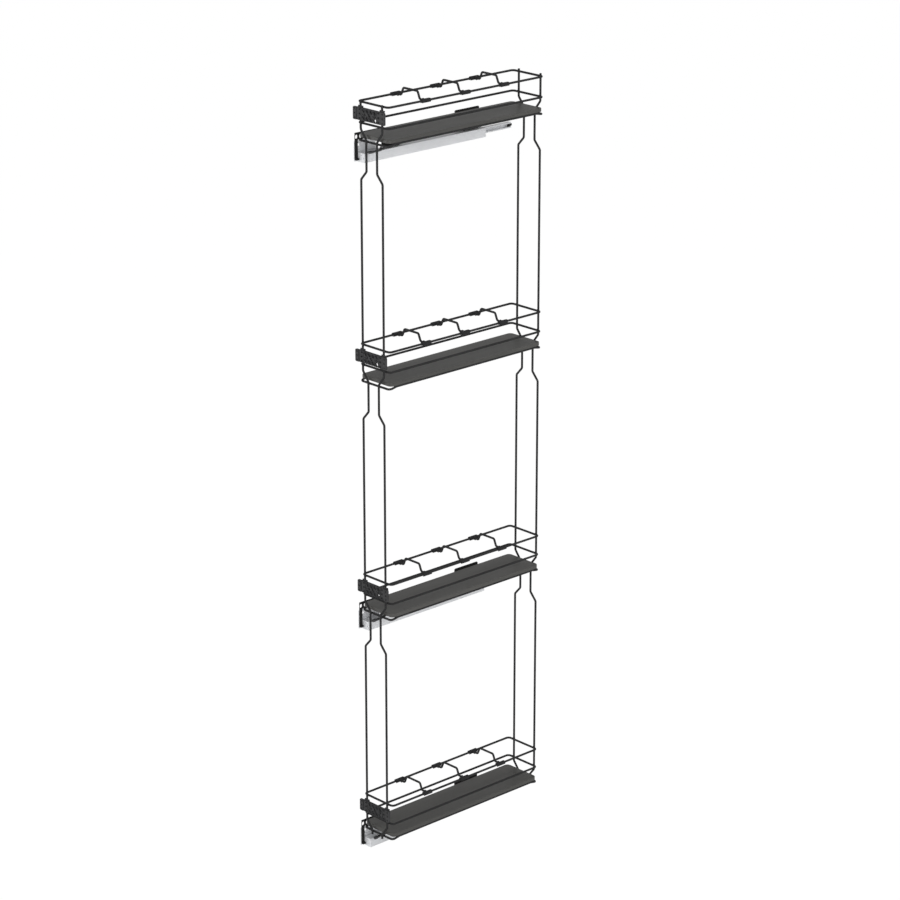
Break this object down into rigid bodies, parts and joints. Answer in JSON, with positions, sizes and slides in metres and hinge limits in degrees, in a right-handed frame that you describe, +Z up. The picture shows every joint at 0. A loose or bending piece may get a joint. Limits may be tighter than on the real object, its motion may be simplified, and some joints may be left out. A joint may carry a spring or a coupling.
{
  "type": "pull-out bottle rack",
  "caption": "Tall narrow pull-out rack with wire baskets on side telescopic runners, for standing bottles in a kitchen cabinet, with door brackets at the front.",
  "frame": {"origin": "middle of the two wall screws of the lowest runner, on the face that lies on the cabinet wall", "axes": "+X from the cabinet wall to the right, +Y from the door to the back, +Z up"},
  "size_m": [0.1121, 0.481, 1.7743],
  "materials": {
    "wire": "satin powder coat, anthracite",
    "bracket": "satin black",
    "carrier": "satin black",
    "divider": "satin black wire with plastic clips",
    "shelf": "dark grey laminate with a faint grain",
    "runner": "bright galvanised",
    "ball_cage": "bright",
    "screw": "dark zinc",
    "lever": "fine grained",
    "stop": "matt"
  },
  "bodies": {
    "cabinet_side": {"cabinet_rail_1": "runner", "cabinet_rail_2": "runner", "cabinet_rail_4": "runner", "rail_stops": "stop"},
    "rack": {"upright_front_left": "wire", "upright_front_right": "wire", "upright_rear_left": "wire", "upright_rear_right": "wire", "guard_rails_1": "wire", "base_frame_1": "wire", "shelf_1": "shelf", "bracket_base_1": "bracket", "door_plate_1": "bracket", "guard_rails_2": "wire", "base_frame_2": "wire", "shelf_2": "shelf", "bracket_base_2": "bracket", "door_plate_2": "bracket", "guard_rails_3": "wire", "base_frame_3": "wire", "shelf_3": "shelf", "bracket_base_3": "bracket", "door_plate_3": "bracket", "guard_rails_4": "wire", "base_frame_4": "wire", "shelf_4": "shelf", "bracket_base_4": "bracket", "door_plate_4": "bracket", "drawer_rail_1": "runner", "front_carrier_1": "carrier", "rear_carrier_1": "carrier", "drawer_rail_2": "runner", "front_carrier_2": "carrier", "rear_carrier_2": "carrier", "drawer_rail_4": "runner", "front_carrier_4": "carrier", "rear_carrier_4": "carrier", "bracket_screws": "screw", "carrier_screws": "screw"},
    "middle_rails": {"middle_rail_1": "runner", "middle_rail_2": "runner", "middle_rail_4": "runner"},
    "outer_cages": {"outer_ball_cages": "ball_cage"},
    "inner_cages": {"inner_ball_cages": "ball_cage"},
    "divider_1_a": {"divider_1_a": "divider"},
    "divider_1_b": {"divider_1_b": "divider"},
    "divider_1_c": {"divider_1_c": "divider"},
    "divider_2_a": {"divider_2_a": "divider"},
    "divider_2_b": {"divider_2_b": "divider"},
    "divider_2_c": {"divider_2_c": "divider"},
    "divider_3_a": {"divider_3_a": "divider"},
    "divider_3_b": {"divider_3_b": "divider"},
    "divider_3_c": {"divider_3_c": "divider"},
    "divider_4_a": {"divider_4_a": "divider"},
    "divider_4_b": {"divider_4_b": "divider"},
    "divider_4_c": {"divider_4_c": "divider"},
    "release_lever_1": {"release_lever_1": "lever"},
    "release_lever_2": {"release_lever_2": "lever"},
    "release_lever_4": {"release_lever_4": "lever"}
  },
  "joints": [
    {"name": "rack_slide", "type": "slide", "parent": "cabinet_side", "child": "rack", "axis": [0, -1, 0], "range_m": [0, 0.45]},
    {"name": "middle_rail_slide", "type": "slide", "parent": "cabinet_side", "child": "middle_rails", "axis": [0, -1, 0], "range_m": [0, 0.225]},
    {"name": "outer_cage_slide", "type": "slide", "parent": "cabinet_side", "child": "outer_cages", "axis": [0, -1, 0], "range_m": [0, 0.1125]},
    {"name": "inner_cage_slide", "type": "slide", "parent": "cabinet_side", "child": "inner_cages", "axis": [0, -1, 0], "range_m": [0, 0.3375]},
    {"name": "divider_1_a_slide", "type": "slide", "parent": "rack", "child": "divider_1_a", "axis": [0, 1, 0], "range_m": [-0.04, 0.04]},
    {"name": "divider_1_b_slide", "type": "slide", "parent": "rack", "child": "divider_1_b", "axis": [0, 1, 0], "range_m": [-0.04, 0.04]},
    {"name": "divider_1_c_slide", "type": "slide", "parent": "rack", "child": "divider_1_c", "axis": [0, 1, 0], "range_m": [-0.04, 0.04]},
    {"name": "divider_2_a_slide", "type": "slide", "parent": "rack", "child": "divider_2_a", "axis": [0, 1, 0], "range_m": [-0.04, 0.04]},
    {"name": "divider_2_b_slide", "type": "slide", "parent": "rack", "child": "divider_2_b", "axis": [0, 1, 0], "range_m": [-0.04, 0.04]},
    {"name": "divider_2_c_slide", "type": "slide", "parent": "rack", "child": "divider_2_c", "axis": [0, 1, 0], "range_m": [-0.04, 0.04]},
    {"name": "divider_3_a_slide", "type": "slide", "parent": "rack", "child": "divider_3_a", "axis": [0, 1, 0], "range_m": [-0.04, 0.04]},
    {"name": "divider_3_b_slide", "type": "slide", "parent": "rack", "child": "divider_3_b", "axis": [0, 1, 0], "range_m": [-0.04, 0.04]},
    {"name": "divider_3_c_slide", "type": "slide", "parent": "rack", "child": "divider_3_c", "axis": [0, 1, 0], "range_m": [-0.04, 0.04]},
    {"name": "divider_4_a_slide", "type": "slide", "parent": "rack", "child": "divider_4_a", "axis": [0, 1, 0], "range_m": [-0.04, 0.04]},
    {"name": "divider_4_b_slide", "type": "slide", "parent": "rack", "child": "divider_4_b", "axis": [0, 1, 0], "range_m": [-0.04, 0.04]},
    {"name": "divider_4_c_slide", "type": "slide", "parent": "rack", "child": "divider_4_c", "axis": [0, 1, 0], "range_m": [-0.04, 0.04]},
    {"name": "release_lever_1_swing", "type": "hinge", "parent": "rack", "child": "release_lever_1", "pos_m": [0.01375, -0.103, 0.01055], "axis": [0, 0, 1], "range_deg": [-10, 0], "stiffness_Nm_per_rad": 0.05},
    {"name": "release_lever_2_swing", "type": "hinge", "parent": "rack", "child": "release_lever_2", "pos_m": [0.01375, -0.103, 0.55055], "axis": [0, 0, 1], "range_deg": [-10, 0], "stiffness_Nm_per_rad": 0.05},
    {"name": "release_lever_4_swing", "type": "hinge", "parent": "rack", "child": "release_lever_4", "pos_m": [0.01375, -0.103, 1.63055], "axis": [0, 0, 1], "range_deg": [-10, 0], "stiffness_Nm_per_rad": 0.05}
  ],
  "couplings": [
    {"joint": "middle_rail_slide", "follows": "rack_slide", "ratio": 0.5},
    {"joint": "outer_cage_slide", "follows": "rack_slide", "ratio": 0.25},
    {"joint": "inner_cage_slide", "follows": "rack_slide", "ratio": 0.75}
  ]
}
